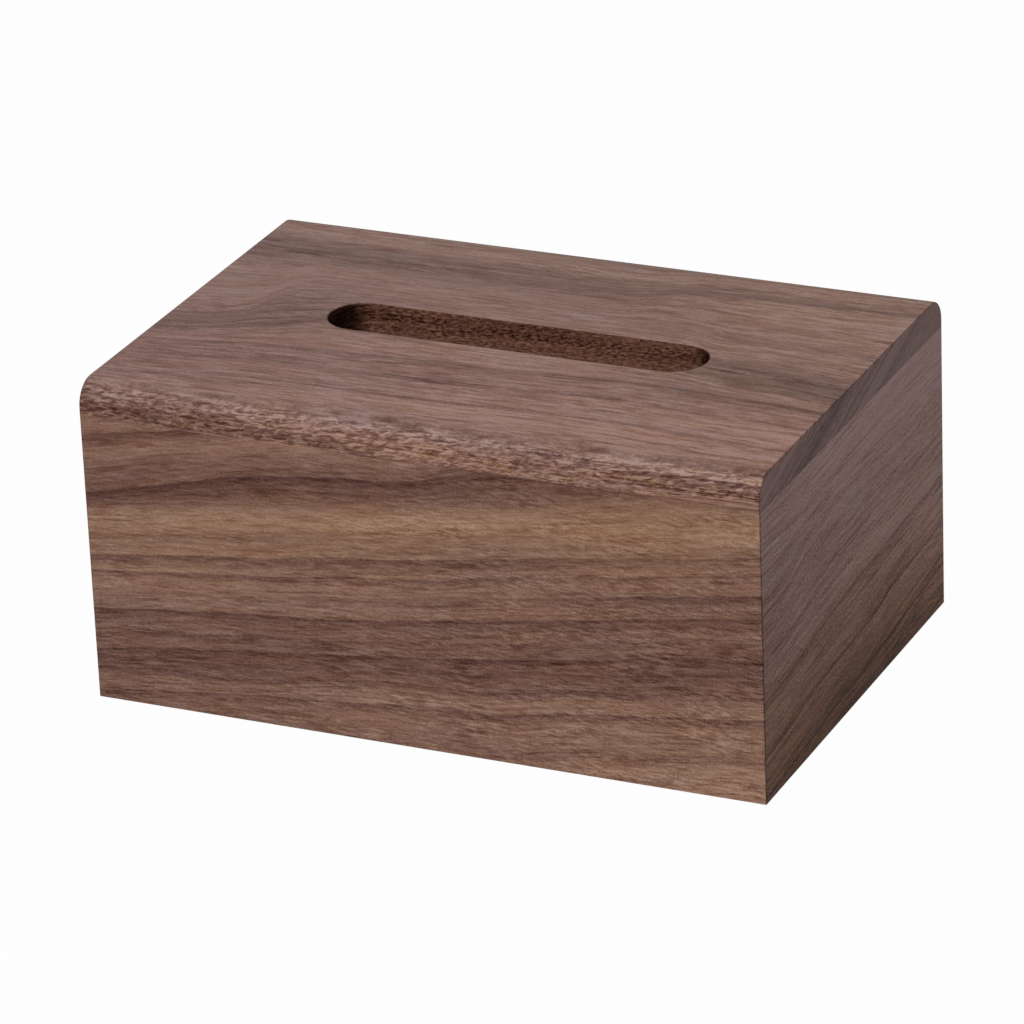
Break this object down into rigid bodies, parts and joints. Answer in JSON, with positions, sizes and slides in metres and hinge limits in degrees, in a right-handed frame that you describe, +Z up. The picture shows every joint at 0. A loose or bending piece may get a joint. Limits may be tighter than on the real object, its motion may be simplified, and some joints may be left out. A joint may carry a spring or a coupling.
{
  "type": "tissue box cover",
  "caption": "Solid walnut tissue box cover, open at the bottom, with a long round-ended slot in a top board whose long edges are rounded.",
  "frame": {"origin": "middle of the rim's plane, at the bottom, where the cover stands on a surface", "axes": "+X along the slot, to the right seen from the front; +Y from the front board to the back board; +Z up"},
  "size_m": [0.212, 0.1446, 0.1],
  "materials": {
    "walnut_top": "satin oiled walnut, grain along X, end grain at the two short ends",
    "walnut_long_boards": "satin oiled walnut, grain along X",
    "walnut_short_boards": "satin oiled walnut, grain along Y",
    "walnut_splines": "unfinished walnut",
    "beech_dowels": "unfinished beech"
  },
  "bodies": {
    "root": {"top_board": "walnut_top", "front_board": "walnut_long_boards", "back_board": "walnut_long_boards", "left_board": "walnut_short_boards", "right_board": "walnut_short_boards", "front_left_spline": "walnut_splines", "front_right_spline": "walnut_splines", "back_right_spline": "walnut_splines", "back_left_spline": "walnut_splines", "front_left_dowel": "beech_dowels", "front_right_dowel": "beech_dowels", "back_left_dowel": "beech_dowels", "back_right_dowel": "beech_dowels"}
  },
  "joints": []
}
